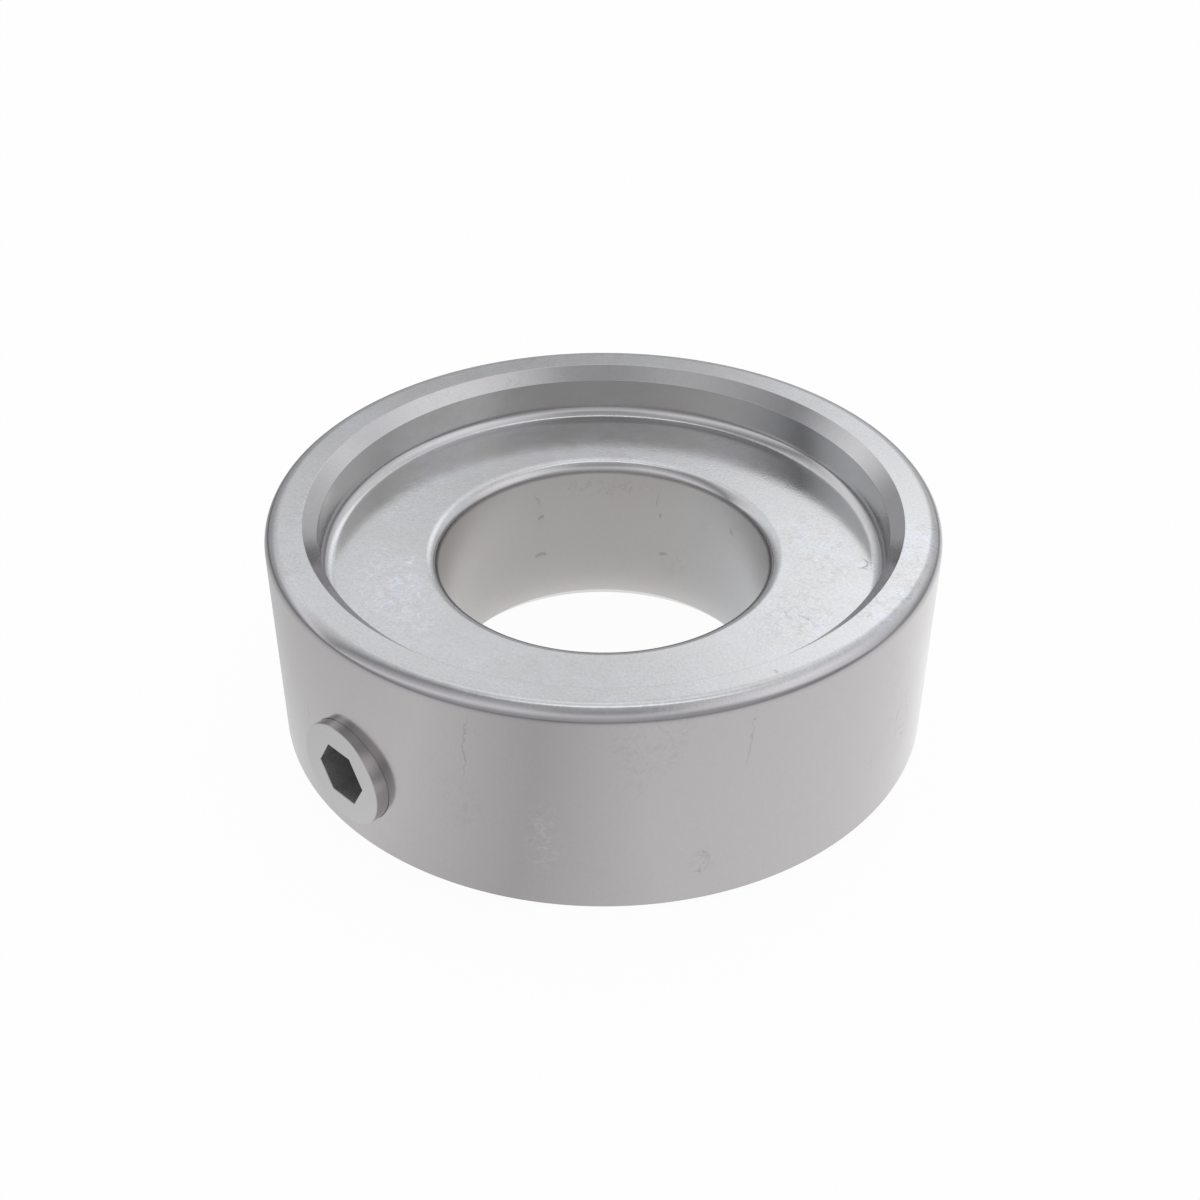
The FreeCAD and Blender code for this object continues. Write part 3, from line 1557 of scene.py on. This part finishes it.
    def _sky(self) -> None:
        """Makes the sky, which is plain white where the camera sees it."""
        world = bpy.data.worlds.new("studio_sky")
        bpy.context.scene.world = world
        shader = Shader(world)
        facing = shader.value("ShaderNodeTexCoord", {}, {}, "Generated")
        behind = shader.across(facing, direction(self.back, 0))
        side = shader.across(facing, direction(self.back - 90, 0))
        turn = shader.parts(facing)[2].angle_from(behind) / math.pi
        left, middle, right = (
            shader.ramp(turn, [(angle / 180, level) for angle, level in sky])
            for sky in (self.left_sky, self.middle_sky, self.right_sky)
        )
        to_left, to_right = side.above(*self.left_step), side.above(*self.right_step)
        arch = middle + to_left * (left - middle) + to_right * (right - middle)
        for panel in self.panels:
            arch = arch + self._light_of(panel, shader, facing)
        camera = shader.value("ShaderNodeLightPath", {}, {}, "Is Camera Ray")
        level = arch + camera * (1 - arch)
        light = shader.node("ShaderNodeBackground", {}, {"Color": (1, 1, 1, 1), "Strength": level})
        shader.output(light.outputs[0], "ShaderNodeOutputWorld")

    def _light_of(self, panel: Panel, shader: Shader, facing: Value) -> Value:
        """Light of one panel.

        Args:
            panel: The panel.
            shader: The sky's tree.
            facing: Direction in which the sky is looked at.

        Returns:
            The panel's level in its middle and 0 from its size outwards.
        """
        along, aside = math.radians(panel.arch), math.radians(panel.side)
        away = direction(self.back, 0) * math.cos(along) * math.cos(aside)
        up = Vector((0, 0, math.sin(along) * math.cos(aside)))
        axis = away + up + direction(self.back - 90, 0) * math.sin(aside)
        return shader.across(facing, axis).above(math.cos(math.radians(panel.size)), 1.0, panel.level)


@dataclass(frozen=True)
class Camera:
    """Camera at the photograph's angle, aimed at the middle of the object's box."""

    azimuth: float = -45.0
    elevation: float = 35.264
    distance: float = 98.14 * MM
    lens: float = 50.0
    sensor: float = 36.0
    nearest: float = 1 * MM
    furthest: float = 20.0

    def build(self, middle: Vector) -> bpy.types.Object:
        """Makes the camera.

        Args:
            middle: The point that it is aimed at.

        Returns:
            The camera.
        """
        data = bpy.data.cameras.new("camera")
        data.lens = self.lens
        data.sensor_width = self.sensor
        data.clip_start = self.nearest
        data.clip_end = self.furthest
        made = bpy.data.objects.new("camera", data)
        back = direction(self.azimuth, self.elevation)
        made.location = middle + back * self.distance
        made.rotation_euler = back.to_track_quat("Z", "Y").to_euler()
        bpy.context.scene.collection.objects.link(made)
        bpy.context.scene.camera = made
        return made


def main() -> None:
    """Builds the collar, its studio and the camera."""
    logging.basicConfig(level=logging.INFO, format="%(name)s: %(message)s")
    bpy.context.scene.view_settings.view_transform = "Standard"
    middle = (cad_box[0] + cad_box[1]) / 2
    thread = Thread()
    screw = SetScrew(thread)
    for builder in (CollarRing(screw), screw):
        piece = builder.build()
        log.info("%s: %d faces", piece.name, len(piece.data.polygons))
    Studio().build()
    Camera().build(middle)


if __name__ == "__main__":
    main()
